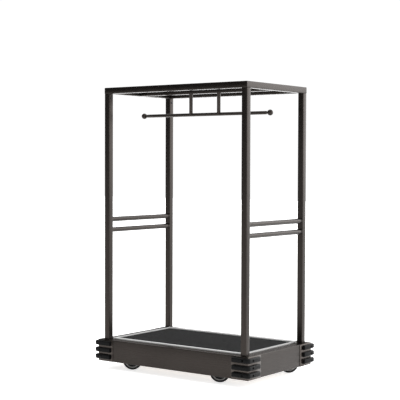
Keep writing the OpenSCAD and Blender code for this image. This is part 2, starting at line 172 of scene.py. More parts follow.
def bronzeCoat(name, along, spec=bronzeSpec):  # satin bronze coat, brushed along one axis
    material, wire = newFinish(name)
    place = objectPlace(wire)
    stretched = objectPlace(wire, [1.0 if axis == along else spec["stretch"] for axis in "XYZ"])
    brushed = cloud(wire, stretched, spec["grain"] / spec["stretch"], 4.0, 0.6)
    speckle = cloud(wire, place, spec["grain"], 2.0)
    tone = ramp(wire, brushed * 0.55 + cloud(wire, place, spec["drift"], 2.0) * 0.45, 0.32, 0.68)
    wear = edgeMask(wire) * ramp(wire, cloud(wire, place, spec["wearPatch"], 5.0), 0.45, 0.75)
    coat = blendColour(wire, tone, spec["deep"], spec["light"])
    surface(wire, {
        "Base Color": blendColour(wire, wear * spec["wearMix"], coat, spec["worn"]),
        "Metallic": spec["metallic"], "Specular Tint": spec["grazing"],
        "Roughness": spec["roughness"] + (brushed - 0.5) * 0.16 + (speckle - 0.5) * 0.06 + wear * 0.05,
        "Normal": bump(wire, brushed * 0.7 + speckle * 0.3, *spec["bump"]),
    })
    return material


longTrimSpec = {
    "dark": (0.46, 0.46, 0.455, 1), "light": (0.74, 0.74, 0.73, 1), "metallic": 0.30, "roughness": 0.40,
    "grain": 7.0, "stretch": 200.0, "smudge": 9.0, "bump": (0.06, 0.0003),
}
# painted shade: the left and right trims get a darker copy of the same stainless, to hold back the strong
# light on that side
shadedEndTrimSpec = dict(longTrimSpec, dark=(0.20, 0.20, 0.198, 1), light=(0.33, 0.33, 0.327, 1), metallic=0.45)


def brushedTrim(name, along, spec):  # stainless edge trim with a fine lengthwise grain
    material, wire = newFinish(name)
    stretched = objectPlace(wire, [1.0 if axis == along else spec["stretch"] for axis in "XYZ"])
    brushed = cloud(wire, stretched, spec["grain"], 4.0, 0.65)
    smudge = cloud(wire, objectPlace(wire), spec["smudge"], 3.0)
    surface(wire, {
        "Base Color": blendColour(wire, ramp(wire, brushed, 0.3, 0.7), spec["dark"], spec["light"]),
        "Metallic": spec["metallic"],
        "Roughness": spec["roughness"] + (brushed - 0.5) * 0.2 + (smudge - 0.5) * 0.12,
        "Normal": bump(wire, brushed, *spec["bump"]),
    })
    return material


feltSpec = {
    "deep": (0.0045, 0.0045, 0.0046, 1), "fibre": (0.0172, 0.0173, 0.0177, 1),
    "fleck": (0.055, 0.0555, 0.057, 1), "fleckMix": 0.6, "roughness": 0.97, "shine": 0.08,
    "fibreScale": 420.0, "fibreStretch": 5, "tuftScale": 260.0, "patchScale": 55.0, "fleckScale": 700.0,
    "bump": (0.9, 0.0025),
}


def carpetFelt(name):  # needle felt: crossed fibres, flecks and trodden patches
    spec = feltSpec
    material, wire = newFinish(name)
    place = objectPlace(wire)
    fibreX = cloud(wire, objectPlace(wire, (1, spec["fibreStretch"], 1)), spec["fibreScale"], 4.0, 0.7)
    fibreY = cloud(wire, objectPlace(wire, (spec["fibreStretch"], 1, 1)), spec["fibreScale"], 4.0, 0.7)
    tuft = crystals(wire, place, spec["tuftScale"])
    patch = cloud(wire, place, spec["patchScale"], 5.0, 0.7)
    fibres = ramp(wire, wire.calc("MAXIMUM", fibreX, fibreY) * 0.45 + patch * 0.55, 0.40, 0.66)
    fleck = ramp(wire, cloud(wire, place, spec["fleckScale"], 2.0), 0.64, 0.76)
    base = blendColour(wire, fibres, spec["deep"], spec["fibre"])
    surface(wire, {
        "Base Color": blendColour(wire, fleck * spec["fleckMix"], base, spec["fleck"]),
        "Roughness": spec["roughness"], "Specular IOR Level": spec["shine"],
        "Normal": bump(wire, fibres * 0.7 + (1 - tuft) * 0.3, *spec["bump"]),
    })
    return material


bumperRubberSpec = {
    "deep": (0.0034, 0.0034, 0.0036, 1), "light": (0.0120, 0.0121, 0.0125, 1), "roughness": 0.38,
    "shine": 0.05, "grain": 1500.0, "scuff": 45.0, "bump": (0.22, 0.0004),
}
tyreRubberSpec = dict(
    bumperRubberSpec, deep=(0.006, 0.006, 0.0065, 1), light=(0.020, 0.020, 0.021, 1),
    roughness=0.42, shine=0.12)


def mouldedRubber(name, spec):  # matt rubber with a fine moulded grain, paler where it is scuffed
    material, wire = newFinish(name)
    grain = cloud(wire, objectPlace(wire), spec["grain"], 2.0)
    scuff = ramp(wire, cloud(wire, objectPlace(wire, (1, 1, 4)), spec["scuff"], 5.0, 0.65), 0.50, 0.74)
    rub = edgeMask(wire) * 0.5
    surface(wire, {
        "Base Color": blendColour(wire, scuff * 0.45 + rub * 0.35, spec["deep"], spec["light"]),
        "Roughness": spec["roughness"] + (grain - 0.5) * 0.14 + scuff * 0.10,
        "Specular IOR Level": spec["shine"],
        "Normal": bump(wire, grain, *spec["bump"]),
    })
    return material


# partly painted shade: the hub, web and ribs are near black, darker than the dark nylon itself, to stand
# for the shaded recess inside the rim
centreNylonShadedSpec = {
    "deep": (0.005, 0.005, 0.0055, 1), "light": (0.013, 0.013, 0.0135, 1), "roughness": 0.42,
    "shine": 0.12, "swirl": 60.0, "grain": 1300.0, "bump": (0.15, 0.0003),
}
rimNylonSpec = dict(centreNylonShadedSpec, deep=(0.16, 0.155, 0.15, 1), light=(0.24, 0.235, 0.23, 1), shine=0.5)


def mouldedNylon(name, spec):
    material, wire = newFinish(name)
    swirl = cloud(wire, objectPlace(wire), spec["swirl"], 4.0)
    grain = cloud(wire, objectPlace(wire), spec["grain"], 2.0)
    surface(wire, {
        "Base Color": blendColour(wire, ramp(wire, swirl, 0.3, 0.7), spec["deep"], spec["light"]),
        "Roughness": spec["roughness"] + (grain - 0.5) * 0.16, "Specular IOR Level": spec["shine"],
        "Normal": bump(wire, grain, *spec["bump"]),
    })
    return material


zincSpec = {
    "deep": (0.36, 0.365, 0.37, 1), "light": (0.60, 0.605, 0.61, 1), "metallic": 0.9, "roughness": 0.32,
    "spangle": 240.0, "stain": 30.0, "bump": (0.08, 0.0003),
}
blackenedSpec = dict(
    zincSpec, deep=(0.018, 0.018, 0.020, 1), light=(0.045, 0.045, 0.048, 1), roughness=0.38)


def platedSteel(name, spec):  # plated steel with faint crystals and stains
    material, wire = newFinish(name)
    place = objectPlace(wire)
    spangle = crystals(wire, place, spec["spangle"])
    stain = cloud(wire, place, spec["stain"], 4.0)
    tone = ramp(wire, stain * 0.7 + spangle * 0.5, 0.3, 0.8)
    surface(wire, {
        "Base Color": blendColour(wire, tone, spec["deep"], spec["light"]), "Metallic": spec["metallic"],
        "Roughness": spec["roughness"] + (stain - 0.5) * 0.2 + spangle * 0.08,
        "Normal": bump(wire, spangle, *spec["bump"]),
    })
    return material


plySpec = {
    "deep": (0.28, 0.185, 0.10, 1), "light": (0.50, 0.36, 0.21, 1), "roughness": 0.68,
    "figure": 5.0, "figureStretch": (1.2, 16, 16), "pore": 6.0, "poreStretch": (6, 160, 160),
    "bump": (0.2, 0.0005),
}


def plyBoard(name):  # rotary-cut veneer, grain along X
    spec = plySpec
    material, wire = newFinish(name)
    figure = cloud(wire, objectPlace(wire, spec["figureStretch"]), spec["figure"], 5.0, 0.62)
    pore = cloud(wire, objectPlace(wire, spec["poreStretch"]), spec["pore"], 3.0)
    tone = ramp(wire, figure * 0.75 + pore * 0.25, 0.35, 0.66)
    surface(wire, {
        "Base Color": blendColour(wire, tone, spec["deep"], spec["light"]),
        "Roughness": spec["roughness"] + (pore - 0.5) * 0.2,
        "Normal": bump(wire, pore, *spec["bump"]),
    })
    return material


primerSpec = {
    "deep": (0.014, 0.014, 0.015, 1), "light": (0.034, 0.034, 0.036, 1), "roughness": 0.5,
    "peel": 420.0, "drift": 6.0, "bump": (0.15, 0.0004),
}


def primedSteel(name):
    spec = primerSpec
    material, wire = newFinish(name)
    peel = cloud(wire, objectPlace(wire), spec["peel"], 2.0)
    drift = cloud(wire, objectPlace(wire), spec["drift"], 3.0)
    surface(wire, {
        "Base Color": blendColour(wire, drift, spec["deep"], spec["light"]),
        "Roughness": spec["roughness"] + (peel - 0.5) * 0.15,
        "Normal": bump(wire, peel, *spec["bump"]),
    })
    return material


finishes = {
    "bronzeX": bronzeCoat("bronzeAlongX", "X"),
    "bronzeY": bronzeCoat("bronzeAlongY", "Y"),
    "bronzeZ": bronzeCoat("bronzeAlongZ", "Z"),
    "bracket": bronzeCoat("litBracketBronze", "Z", litBracketSpec),
    # painted shade on the upward faces of skirts and brackets
    "flange": bronzeCoat("shadedTopBronze", "X", shadedTopSpec),
    "trimX": brushedTrim("trimAlongX", "X", longTrimSpec),
    "trimY": brushedTrim("shadedTrimAlongY", "Y", shadedEndTrimSpec),
    "carpet": carpetFelt("carpetFelt"),
    "bumper": mouldedRubber("bumperRubber", bumperRubberSpec),
    "tyre": mouldedRubber("tyreRubber", tyreRubberSpec),
    # wheel centres: dark nylon with painted recess shade
    "nylon": mouldedNylon("wheelNylonWithRecessShade", centreNylonShadedSpec),
    "rimNylon": mouldedNylon("rimNylon", rimNylonSpec),
    "zinc": platedSteel("zincPlate", zincSpec),
    "blackened": platedSteel("blackenedSteel", blackenedSpec),
    "ply": plyBoard("plyVeneer"),
    "primed": primedSteel("primedSteel"),
}
print("finishes made:", len(finishes))


# Mesh helpers

# corners with their signs along X and Y, and sides with their length's axis and outward sign
cornerSigns = {
    "front_left": (-1, -1), "front_right": (1, -1), "rear_left": (-1, 1), "rear_right": (1, 1),
}
sideAxes = {"front": ("X", -1), "rear": ("X", 1), "left": ("Y", -1), "right": ("Y", 1)}


def extrudeFaces(bm, faces, offset):
    made = bmesh.ops.extrude_face_region(bm, geom=faces)["geom"]
    verts = [g for g in made if isinstance(g, bmesh.types.BMVert)]
    bmesh.ops.translate(bm, vec=offset, verts=verts)
    return [g for g in made if isinstance(g, bmesh.types.BMFace)]


def roundOff(bm, geom, width, segments, affect="EDGES", clamp=False):
    return bmesh.ops.bevel(bm, geom=geom, offset=width, segments=segments, affect=affect, profile=0.5,
                           material=-1, clamp_overlap=clamp)


def bevelSharp(bm, width, segments, least, keep=None):  # least is the smallest fold, in degrees
    edges = [e for e in bm.edges if len(e.link_faces) == 2 and math.degrees(e.calc_face_angle(0)) > least
             and (keep is None or keep(e))]
    roundOff(bm, edges, width, segments, clamp=True)


def block(size, centre):
    bm = bmesh.new()
    bmesh.ops.create_cube(bm, size=1.0)
    bmesh.ops.scale(bm, vec=size, verts=bm.verts)
    bmesh.ops.translate(bm, vec=centre, verts=bm.verts)
    return bm


def rectangle(bm, width, height):
    bmesh.ops.create_grid(bm, x_segments=1, y_segments=1, size=0.5)
    bmesh.ops.scale(bm, vec=(width, height, 1), verts=bm.verts)


def roundedRect(bm, width, height, radius):
    rectangle(bm, width, height)
    roundOff(bm, bm.verts[:], radius, segments=5, affect="VERTICES")


def axisTurn(along):  # local Z goes to the named axis, local X and Y to the other two in order
    others = [axis for axis in "XYZ" if axis != along]
    columns = [Vector([1.0 if axis == name else 0.0 for axis in "XYZ"]) for name in (*others, along)]
    return Matrix(columns).transposed().to_4x4()


def tubeBar(low, high, along, radius):  # closed bar with four rounded long edges that fills a box
    size = dict(zip("XYZ", high - low))
    length = size.pop(along)
    bm = bmesh.new()
    roundedRect(bm, *size.values(), radius)
    extrudeFaces(bm, bm.faces[:], (0, 0, length))
    bmesh.ops.translate(bm, vec=(0, 0, -length / 2), verts=bm.verts)
    bmesh.ops.transform(bm, matrix=Matrix.Translation((low + high) / 2) @ axisTurn(along), verts=bm.verts)
    bmesh.ops.recalc_face_normals(bm, faces=bm.faces)
    return bm


def lathe(bm, profile, steps, closed=False):  # spins (radius, height) points round local Z
    verts = [bm.verts.new((radius, 0, height)) for radius, height in profile]
    pairs = list(zip(verts, verts[1:])) + ([(verts[-1], verts[0])] if closed else [])
    edges = [bm.edges.new(pair) for pair in pairs]
    bmesh.ops.spin(bm, geom=verts + edges, cent=(0, 0, 0), axis=(0, 0, 1), dvec=(0, 0, 0),
                   angle=2 * math.pi, steps=steps, use_merge=True, use_duplicate=False)
    bmesh.ops.remove_doubles(bm, verts=bm.verts, dist=1e-6)
    bmesh.ops.recalc_face_normals(bm, faces=bm.faces)


def bothSides(section):  # a lathe section followed by its mirror image across height 0
    return section + [(r, -h) for r, h in reversed(section)]


def arcPoints(centre, radius, start, end, count):  # points of an arc, angles in degrees
    angles = [math.radians(start + (end - start) * i / (count - 1)) for i in range(count)]
    return [(centre[0] + radius * math.cos(a), centre[1] + radius * math.sin(a)) for a in angles]


def joined(target, source, matrix=None):  # adds a finished bmesh to another
    mesh = bpy.data.meshes.new("part")
    source.to_mesh(mesh)
    source.free()
    if matrix is not None:
        mesh.transform(matrix)
    target.from_mesh(mesh)
    bpy.data.meshes.remove(mesh)


def openRim(bm):
    return [e for e in bm.edges if len(e.link_faces) == 1]


# the second finish, if given, goes on the faces that look upwards: painted shade, a copy of the bronze
# with damped reflection so the tops read darker
def addPiece(name, bm, finish, body="cart", stands=(), sharpAngle=35,
             shadedTopFinish=None):
    for edge in bm.edges:
        edge.smooth = math.degrees(edge.calc_face_angle(0)) < sharpAngle
    for face in bm.faces:
        face.smooth = True
        face.material_index = 1 if shadedTopFinish and face.normal.z > 0.9 else 0
    mesh = bpy.data.meshes.new(name)
    bm.to_mesh(mesh)
    bm.free()
    mesh.materials.append(finishes[finish])
    if shadedTopFinish:
        mesh.materials.append(finishes[shadedTopFinish])
    piece = bpy.data.objects.new(name, mesh)
    scene.collection.objects.link(piece)
    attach(piece, body)
    if stands:
        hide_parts(*stands)
    return piece


# Upper frame

frameSpec = {"cornerRadius": 0.004, "seam": 0.0004}  # outer corner of the square tube, edge at a joint


def makePosts():
    for side in cornerSigns:
        low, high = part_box("post_" + side)
        bm = tubeBar(low, high, "Z", frameSpec["cornerRadius"])
        bevelSharp(bm, frameSpec["seam"], segments=1, least=60)
        addPiece("postTube_" + side, bm, "bronzeZ", stands=["post_" + side])


def mitreEnd(bm, corner, away):
    bmesh.ops.bisect_plane(bm, geom=bm.verts[:] + bm.edges[:] + bm.faces[:], plane_co=corner,
                           plane_no=away, clear_outer=True)
    bmesh.ops.contextual_create(bm, geom=openRim(bm))


def makeTopRails():
    left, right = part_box("top_rail_left")[0].x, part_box("top_rail_right")[1].x
    front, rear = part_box("top_rail_front")[0].y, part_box("top_rail_rear")[1].y
    for name, (along, sign) in sideAxes.items():
        low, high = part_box("top_rail_" + name)
        low, high = low.copy(), high.copy()
        if along == "X":
            low.x, high.x = left, right
            ends = [((left, sign * rear, 0), (-1, -sign, 0)), ((right, sign * rear, 0), (1, -sign, 0))]
        else:
            low.y, high.y = front, rear
            edge = left if sign < 0 else right
            ends = [((edge, front, 0), (-sign, -1, 0)), ((edge, rear, 0), (-sign, 1, 0))]
        bm = tubeBar(low, high, along, frameSpec["cornerRadius"])
        for corner, away in ends:
            mitreEnd(bm, Vector(corner), Vector(away))
        bmesh.ops.recalc_face_normals(bm, faces=bm.faces)
        bevelSharp(bm, frameSpec["seam"], segments=1, least=40)
        addPiece("topRail_" + name, bm, "bronze" + along, stands=["top_rail_" + name])
    low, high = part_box("top_rail_centre")
    bm = tubeBar(low, high, "X", frameSpec["cornerRadius"])
    bevelSharp(bm, frameSpec["seam"], segments=1, least=60)
    addPiece("topRail_centre", bm, "bronzeX", stands=["top_rail_centre"])


garmentSpec = {
    "ballRadius": 0.019, "neckRadius": 0.008, "neckSeat": 0.016, "shoulder": 0.010, "cone": 0.002,
    "intoBall": 0.001, "edge": 0.0008, "seatEdge": 0.0006, "steps": 40, "ballSteps": 24,
}


def makeGarmentRail():
    spec = garmentSpec
    low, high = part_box("hanging_rail")
    ballLow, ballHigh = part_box("rail_end_balls")
    centre = (low + high) / 2
    railRadius = (high.z - low.z) / 2
    reach = ballHigh.x - spec["ballRadius"] - spec["neckSeat"]
    neckStart, tip = reach - spec["shoulder"], reach + spec["intoBall"]
    half = [(0, -tip), (spec["neckRadius"], -tip), (spec["neckRadius"], -neckStart),
            (railRadius, spec["cone"] - neckStart)]
    bm = bmesh.new()
    lathe(bm, bothSides(half), spec["steps"])
    bevelSharp(bm, spec["edge"], segments=2, least=30)
    bmesh.ops.transform(bm, matrix=Matrix.Translation(centre) @ axisTurn("X"), verts=bm.verts)
    bmesh.ops.recalc_face_normals(bm, faces=bm.faces)
    addPiece("garmentBar", bm, "bronzeX", stands=["hanging_rail"])

    bm = bmesh.new()
    for side in (-1, 1):
        ball = bmesh.new()
        bmesh.ops.create_uvsphere(ball, u_segments=spec["steps"], v_segments=spec["ballSteps"],
                                  radius=spec["ballRadius"])
        bmesh.ops.bisect_plane(ball, geom=ball.verts[:] + ball.edges[:] + ball.faces[:],
                               plane_co=(0, 0, -spec["neckSeat"]), plane_no=(0, 0, -1), clear_outer=True)
        bmesh.ops.contextual_create(ball, geom=openRim(ball))
        bevelSharp(ball, spec["seatEdge"], segments=2, least=20)
        place = Vector((side * (ballHigh.x - spec["ballRadius"]), centre.y, centre.z))
        joined(bm, ball, Matrix.Translation(place) @ Matrix.Rotation(side * math.pi / 2, 4, "Y"))
    addPiece("railEndBalls", bm, "bronzeX", stands=["rail_end_balls"])


dropSpec = {"radius": 0.012, "weld": 0.0022, "footGap": 0.002, "edge": 0.0008, "steps": 32}


def makeDrops():
    spec = dropSpec
    low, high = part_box("hanger_drops")
    radius, foot, top = spec["radius"], low.z + spec["footGap"], high.z
    centreX = high.x - radius
    bm = bmesh.new()
    for side in (-1, 1):
        drop = bmesh.new()
        lathe(drop, [(0, foot), (radius, foot), (radius, top - spec["weld"]), (radius + spec["weld"], top),
                     (0, top)], spec["steps"])
        bevelSharp(drop, spec["edge"], segments=2, least=30)
        joined(bm, drop, Matrix.Translation((side * centreX, 0, 0)))
    addPiece("hangerDrops", bm, "bronzeZ", stands=["hanger_drops"])


endTubeSpec = {
    "radius": 0.016, "collarRadius": 0.0185, "collarLength": 0.005, "round": 0.0012, "steps": 40,
}


def makeEndTubes():
    spec = endTubeSpec
    low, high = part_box("side_tubes")
    tubes, collars = bmesh.new(), bmesh.new()
    length = high.y - low.y
    for x in (low.x + spec["radius"], high.x - spec["radius"]):
        for z in (low.z + spec["radius"], high.z - spec["radius"]):
            tube = bmesh.new()
            bmesh.ops.create_circle(tube, cap_ends=True, segments=spec["steps"], radius=spec["radius"])
            extrudeFaces(tube, tube.faces[:], (0, 0, length))
            bmesh.ops.recalc_face_normals(tube, faces=tube.faces)
            joined(tubes, tube, Matrix.Translation((x, low.y, z)) @ axisTurn("Y"))
            for side, y in ((1, low.y), (-1, high.y)):
                collar = bmesh.new()
                middle = (spec["collarRadius"] - spec["round"], spec["collarLength"] - spec["round"])
                rounding = arcPoints(middle, spec["round"], 0, 90, 5)
                lathe(collar, [(spec["radius"], 0), (spec["collarRadius"], 0), *rounding,
                               (spec["radius"], spec["collarLength"])], spec["steps"], closed=True)
                turn = Matrix.Rotation(-side * math.pi / 2, 4, "X")
                joined(collars, collar, Matrix.Translation((x, y, z)) @ turn)
    bmesh.ops.recalc_face_normals(tubes, faces=tubes.faces)
    bmesh.ops.recalc_face_normals(collars, faces=collars.faces)
    addPiece("endTubes", tubes, "bronzeY", stands=["side_tubes"])
    addPiece("endTubeCollars", collars, "bronzeY", stands=["side_tube_collars"])


makePosts()
makeTopRails()
makeGarmentRail()
makeDrops()
makeEndTubes()
print("upper frame made")


# Deck

carpetSpec = {
    "step": 0.004, "pile": 0.0006, "edgeDrop": 0.0014, "edgeWidth": 0.006, "tuft": 260, "wave": 22,
    "footGap": 0.0001,
}


def makeCarpet():
    spec = carpetSpec
    low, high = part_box("deck_carpet")
    size = high - low
    bm = bmesh.new()
    bmesh.ops.create_grid(bm, x_segments=round(size.x / spec["step"]),
                          y_segments=round(size.y / spec["step"]), size=0.5)
    bmesh.ops.scale(bm, vec=(size.x, size.y, 1), verts=bm.verts)
    for v in bm.verts:
        fromEdge = min(size.x / 2 - abs(v.co.x), size.y / 2 - abs(v.co.y))
        edge = max(0.0, 1 - fromEdge / spec["edgeWidth"])
        nap = noise.noise(v.co * spec["tuft"]) * 0.6 + noise.noise(v.co * spec["wave"]) * 0.4
        v.co.z = high.z - spec["pile"] * (0.55 + 0.45 * nap) - spec["edgeDrop"] * edge * edge
    made = bmesh.ops.extrude_edge_only(bm, edges=openRim(bm))["geom"]
    for v in (g for g in made if isinstance(g, bmesh.types.BMVert)):
        v.co.z = low.z + spec["footGap"]
    bmesh.ops.contextual_create(bm, geom=openRim(bm))
    bmesh.ops.recalc_face_normals(bm, faces=bm.faces)
    piece = addPiece("deckCarpet", bm, "carpet", stands=["deck_carpet"], sharpAngle=50)
    print("carpet laid, about", round(size.x, 3), "by", round(size.y, 3), "m")


trimSpec = {"radius": 0.0022}


def makeTrims():
    for name, (along, sign) in sideAxes.items():
        low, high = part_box("trim_" + name)
        bm = block(high - low, (low + high) / 2)
        top = [e for e in bm.edges if all(abs(v.co.z - high.z) < 1e-6 for v in e.verts)]
        roundOff(bm, top, trimSpec["radius"], segments=4)
        addPiece("edgeTrim_" + name, bm, "trim" + along, stands=["trim_" + name])


makeCarpet()
makeTrims()
print("deck made")


# Skirt, corner brackets and bumpers

skirtSpec = {"sheet": 0.0015, "bend": 0.0028, "lip": 0.0135, "gap": 0.0004}  # gap to trims and posts
bracketShape = {
    "sheet": 0.0025, "bend": 0.004, "flange": 0.002, "gap": 0.001, "corner": 0.003, "edge": 0.0004,
}
swapXY = Matrix(((0, 1, 0, 0), (1, 0, 0, 0), (0, 0, 1, 0), (0, 0, 0, 1)))


def foldedSheet(points, thickness, bend, extrude, inward):
    # points are the section's outer line; the thickness goes to the side that inward points to
    bm = bmesh.new()
    verts = [bm.verts.new(p) for p in points]
    edges = [bm.edges.new(pair) for pair in zip(verts, verts[1:])]
    made = bmesh.ops.extrude_edge_only(bm, edges=edges)["geom"]
    bmesh.ops.translate(bm, vec=extrude, verts=[g for g in made if isinstance(g, bmesh.types.BMVert)])
    folds = [e for e in bm.edges if len(e.link_faces) == 2]
    roundOff(bm, folds, bend, segments=5)
    bmesh.ops.recalc_face_normals(bm, faces=bm.faces)
    largest = max(bm.faces, key=lambda f: f.calc_area())
    if largest.normal.dot(Vector(inward)) > 0:
        bmesh.ops.reverse_faces(bm, faces=bm.faces)
    bmesh.ops.solidify(bm, geom=bm.faces[:], thickness=thickness)
    bmesh.ops.recalc_face_normals(bm, faces=bm.faces)
    return bm


def makeSkirts():
    spec = skirtSpec
    postLow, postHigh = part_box("post_front_right")
    for name, (along, sign) in sideAxes.items():
        low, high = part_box("skirt_" + name)
        trimLow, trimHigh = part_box("trim_" + name)
        if along == "Y":  # worked out along X, then swapped
            low, high, trimLow, trimHigh = [swapXY @ v for v in (low, high, trimLow, trimHigh)]
        outer, inner = (low.y, trimLow.y) if sign < 0 else (high.y, trimHigh.y)
        lip = outer - sign * spec["lip"]
        edge = trimLow.z
        inner += sign * spec["gap"]
        reach = (postLow.x if along == "X" else -postHigh.y) - spec["gap"]
        inward = (0, -sign, 0)
        flanged = [(inner, high.z), (outer, high.z), (outer, low.z), (lip, low.z)]
        plain = [(outer, edge), (outer, low.z), (lip, low.z)]
        bm = bmesh.new()
        lengths = ((-reach, reach, flanged), (low.x, -reach, plain), (reach, high.x, plain))
        for start, end, section in lengths:
            points = [(start, y, z) for y, z in section]
            joined(bm, foldedSheet(points, spec["sheet"], spec["bend"], (end - start, 0, 0), inward))
        if along == "Y":
            bmesh.ops.transform(bm, matrix=swapXY, verts=bm.verts)
            bmesh.ops.recalc_face_normals(bm, faces=bm.faces)
        # the upward faces carry the painted shade copy of the bronze
        addPiece("skirtPanel_" + name, bm, "bronze" + along, stands=["skirt_" + name],
                 shadedTopFinish="flange")


def makeBrackets():
    spec = bracketShape
    postLow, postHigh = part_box("post_front_right")
    for name, (signX, signY) in cornerSigns.items():
        low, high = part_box("corner_bracket_" + name)
        outX, inX = (high.x, low.x) if signX > 0 else (low.x, high.x)
        outY, inY = (high.y, low.y) if signY > 0 else (low.y, high.y)
        points = [(inX, outY, low.z), (outX, outY, low.z), (outX, inY, low.z)]
        inward = Vector((-signX, -signY, 0))
        bm = foldedSheet(points, spec["sheet"], spec["bend"], (0, 0, high.z - low.z), inward)
        flangeX = abs(outX) - postLow.x
        flangeY = abs(outY) + postHigh.y
        middle = (outX - signX * (flangeX + spec["gap"]) / 2,
                  outY - signY * (flangeY + spec["gap"]) / 2, high.z - spec["flange"] / 2)
        plate = block((flangeX - spec["gap"], flangeY - spec["gap"], spec["flange"]), middle)
        upright = [e for e in plate.edges if abs(e.verts[0].co.z - e.verts[1].co.z) > 1e-4
                   and abs(e.verts[0].co.x - outX) < 0.002 and abs(e.verts[0].co.y - outY) < 0.002]
        roundOff(plate, upright, spec["corner"], segments=4)
        joined(bm, plate)
        bevelSharp(bm, spec["edge"], segments=2, least=60)
        # the upward faces carry the painted shade copy of the bronze
        addPiece("cornerBracket_" + name, bm, "bracket", stands=["corner_bracket_" + name],
                 shadedTopFinish="flange")


bumperSpec = {
    "height": 0.030, "depth": 0.0185, "round": 0.008, "endRound": 0.0012, "levels": 3, "well": 0.0065,
    "wellMargin": 0.0015, "sink": 0.006, "screwIn": 0.027,
}
screwSpec = {"radius": 0.00475, "height": 0.0026, "crown": 0.6, "rim": 0.22, "recess": 0.55}


def cutWell(bm, centre, normal, radius, depth):  # round counterbore in a flat face
    side = Vector((0, 0, 1)).cross(normal)
    reach = radius + bumperSpec["wellMargin"]

    def nearest():
        facing = (f for f in bm.faces if f.normal.dot(normal) > 0.999)
        return min(facing, key=lambda f: (f.calc_center_median() - centre).length)

    for across in (side, Vector((0, 0, 1))):
        for sign in (-1, 1):
            near = [f for f in bm.faces if f.normal.dot(normal) > 0.999
                    and abs((f.calc_center_median() - centre).dot(normal)) < 1e-5]
            geom = list({g for f in near for g in (*f.verts, *f.edges, f)})
            bmesh.ops.bisect_plane(bm, geom=geom, plane_co=centre + across * reach * sign, plane_no=across)
    bmesh.ops.subdivide_edges(bm, edges=nearest().edges[:], cuts=3)
    hub = bmesh.ops.poke(bm, faces=[nearest()])["verts"]
    ring = roundOff(bm, hub, radius, segments=1, affect="VERTICES")
    disc = max(ring["faces"], key=lambda f: len(f.verts))
    extrudeFaces(bm, [disc], -normal * depth)


def makeBumpers():
    spec = bumperSpec
    screwHeads = bmesh.new()
    for name, (signX, signY) in cornerSigns.items():
        low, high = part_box("bumpers_" + name)
        bracketLow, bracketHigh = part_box("corner_bracket_" + name)
        elbow = Vector((bracketHigh.x if signX > 0 else -bracketLow.x,
                        bracketHigh.y if signY > 0 else -bracketLow.y))
        baseEdge = Vector((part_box("skirt_front")[1].x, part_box("skirt_rear")[1].y))
        toCorner = Matrix.Diagonal((signX, signY, 1, 1))
        limbX = high.x - low.x - spec["depth"]
        limbY = high.y - low.y - spec["depth"]
        pitch = (high.z - low.z - spec["height"]) / (spec["levels"] - 1)
        strips = bmesh.new()
        for level in range(spec["levels"]):
            middle = low.z + spec["height"] / 2 + level * pitch
            strip = bmesh.new()
            rectangle(strip, spec["depth"], spec["height"])
            bmesh.ops.translate(strip, vec=(spec["depth"] / 2, 0, 0), verts=strip.verts)
            outerVerts = [v for v in strip.verts if v.co.x > spec["depth"] / 2]
            roundOff(strip, outerVerts, spec["round"], segments=6, affect="VERTICES")
            # section: local x outwards, local y up; it starts on the end of the limb along X
            start = Matrix.Translation((elbow.x - limbX, elbow.y, middle)) @ Matrix(
                ((0, 0, 1, 0), (1, 0, 0, 0), (0, 1, 0, 0), (0, 0, 0, 1)))
            bmesh.ops.transform(strip, matrix=start, verts=strip.verts)
            end = extrudeFaces(strip, strip.faces[:], (limbX, 0, 0))
            geom = [*end, *{e for f in end for e in f.edges}, *{v for f in end for v in f.verts}]
            turned = bmesh.ops.spin(strip, geom=geom, cent=(elbow.x, elbow.y, middle), axis=(0, 0, 1),
                                    dvec=(0, 0, 0), angle=-math.pi / 2, steps=10, use_duplicate=False)
            last = [g for g in turned["geom_last"] if isinstance(g, bmesh.types.BMFace)]
            extrudeFaces(strip, last, (0, -limbY, 0))
            bmesh.ops.remove_doubles(strip, verts=strip.verts, dist=1e-6)
            bmesh.ops.recalc_face_normals(strip, faces=strip.faces)
            limbEnd = elbow - Vector((limbX, limbY))
            bevelSharp(strip, spec["endRound"], segments=3, least=60, keep=lambda e: all(
                min(abs(v.co.x - limbEnd.x), abs(v.co.y - limbEnd.y)) < 1e-5 for v in e.verts))
            faceX, faceY = elbow.x + spec["depth"], elbow.y + spec["depth"]
            wells = ((Vector((baseEdge.x - spec["screwIn"], faceY, middle)), Vector((0, 1, 0))),
                     (Vector((faceX, baseEdge.y - spec["screwIn"], middle)), Vector((1, 0, 0))))
            for centre, normal in wells:
                cutWell(strip, centre, normal, spec["well"], spec["sink"])
                seat = Matrix.Translation(centre - normal * spec["sink"])
                turn = normal.to_track_quat("Z", "Y").to_matrix().to_4x4()
                joined(screwHeads, panHead(), toCorner @ seat @ turn)
            joined(strips, strip, toCorner)
        if signX * signY < 0:
            bmesh.ops.reverse_faces(strips, faces=strips.faces)
        addPiece("rubberStrips_" + name, strips, "bumper", stands=["bumpers_" + name])
    bmesh.ops.recalc_face_normals(screwHeads, faces=screwHeads.faces)
    addPiece("bumperScrewHeads", screwHeads, "blackened", stands=["bumper_screws"])


def panHead():  # low screw head with a round recess, seat on z = 0
    radius, height = screwSpec["radius"], screwSpec["height"]
    bend = height * screwSpec["crown"]
    bm = bmesh.new()
    crown = arcPoints((radius - bend, height - bend), bend, 0, 90, 4)
    lathe(bm, [(0, 0), (radius, 0), *crown, (0, height)], steps=24)
    flat = [f for f in bm.faces if abs(f.calc_center_median().z - height) < 1e-6]
    bmesh.ops.dissolve_faces(bm, faces=flat)
    top = max(bm.faces, key=lambda f: f.calc_center_median().z)
    bmesh.ops.inset_region(bm, faces=[top], thickness=radius * screwSpec["rim"], depth=0)
    extrudeFaces(bm, [top], (0, 0, -height * screwSpec["recess"]))
    return bm


makeSkirts()
makeBrackets()
makeBumpers()
print("skirt, brackets and bumpers made")


# Casters

